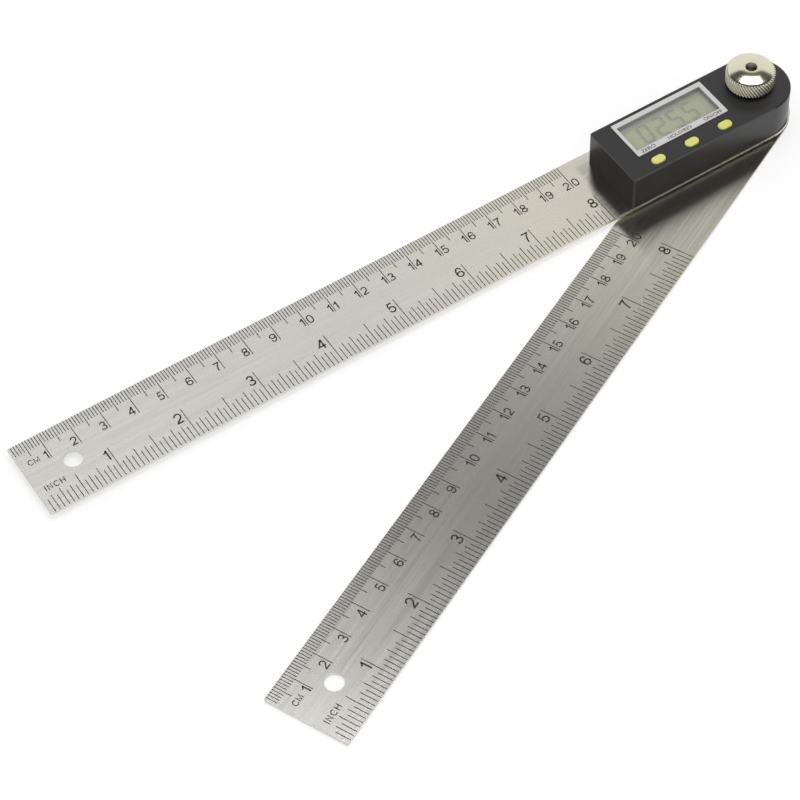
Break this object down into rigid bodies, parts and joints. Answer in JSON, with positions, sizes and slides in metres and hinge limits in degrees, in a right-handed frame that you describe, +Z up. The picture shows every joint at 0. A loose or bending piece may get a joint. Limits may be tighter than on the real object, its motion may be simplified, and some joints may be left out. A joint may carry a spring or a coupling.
{
  "type": "digital angle finder",
  "caption": "Digital angle finder: etched steel rules on one pivot, a display head with push buttons on the upper rule and a knurled knob that locks them.",
  "frame": {"origin": "on the pivot axis, at the underside of the lower rule, which the part rests on", "axes": "+Z up along the pivot axis, -X along the upper rule from the pivot to its free end; the lower rule is turned 25.5 degrees about +Z"},
  "size_m": [0.28, 0.141, 0.0227],
  "materials": {
    "rule_steel": "brushed lengthwise, satin, with dark etched scales",
    "knob_nickel": "polished warm nickel",
    "plain_steel": "zinc plated",
    "cell_steel": "satin stainless can",
    "hub_alloy": "turned",
    "contact_brass": "bright spring brass",
    "black_shell": "satin moulded, black",
    "black_nylon": "matt",
    "grey_frame": "satin light grey",
    "clear_window": "clear, polished",
    "display_glass": "grey-green liquid crystal",
    "button_rubber": "satin yellow-green",
    "contact_rubber": "layered, matt",
    "green_board": "solder resist",
    "dark_resin": "moulded resin"
  },
  "bodies": {
    "head": {"upper_rule": "rule_steel", "housing": "black_shell", "pivot_bush": "plain_steel", "display_bezel": "grey_frame", "display_lens": "clear_window", "lcd_panel": "display_glass", "zebra_strip_front": "contact_rubber", "zebra_strip_rear": "contact_rubber", "circuit_board": "green_board", "board_screw_1": "plain_steel", "board_screw_2": "plain_steel", "driver_chip": "dark_resin", "switch_zero": "dark_resin", "switch_hold": "dark_resin", "switch_power": "dark_resin", "battery_contact_positive": "contact_brass", "battery_contact_negative": "contact_brass", "housing_screw_1": "plain_steel", "housing_screw_2": "plain_steel", "housing_screw_3": "plain_steel", "housing_screw_4": "plain_steel"},
    "lower_arm": {"lower_rule": "rule_steel", "friction_washer": "black_nylon", "pivot_hub": "hub_alloy", "pivot_stud": "plain_steel", "encoder_rotor": "green_board", "hub_screw_1": "plain_steel", "hub_screw_2": "plain_steel", "hub_screw_3": "plain_steel"},
    "knob_seat": {"knob_washer": "plain_steel"},
    "knob": {"lock_knob": "knob_nickel"},
    "zero_button": {"button_zero": "button_rubber"},
    "hold_button": {"button_hold": "button_rubber"},
    "power_button": {"button_power": "button_rubber"},
    "drawer": {"battery_drawer": "black_shell", "coin_cell": "cell_steel"}
  },
  "joints": [
    {"name": "arm_swing", "type": "hinge", "parent": "head", "child": "lower_arm", "pos_m": [0, 0, 0.001], "axis": [0, 0, 1], "continuous": true},
    {"name": "knob_lift", "type": "slide", "parent": "lower_arm", "child": "knob_seat", "axis": [0, 0, 1], "range_m": [0, 0.0007]},
    {"name": "knob_turn", "type": "hinge", "parent": "knob_seat", "child": "knob", "pos_m": [0, 0, 0.0166], "axis": [0, 0, 1], "range_deg": [0, 360]},
    {"name": "press_zero", "type": "slide", "parent": "head", "child": "zero_button", "axis": [0, 0, -1], "range_m": [0, 0.0005], "stiffness_N_per_m": 600},
    {"name": "press_hold", "type": "slide", "parent": "head", "child": "hold_button", "axis": [0, 0, -1], "range_m": [0, 0.0005], "stiffness_N_per_m": 600},
    {"name": "press_power", "type": "slide", "parent": "head", "child": "power_button", "axis": [0, 0, -1], "range_m": [0, 0.0005], "stiffness_N_per_m": 600},
    {"name": "drawer_slide", "type": "slide", "parent": "head", "child": "drawer", "axis": [0, 1, 0], "range_m": [0, 0.022]}
  ],
  "couplings": [
    {"joint": "knob_turn", "follows": "knob_lift", "rad_per_m": 8975}
  ]
}
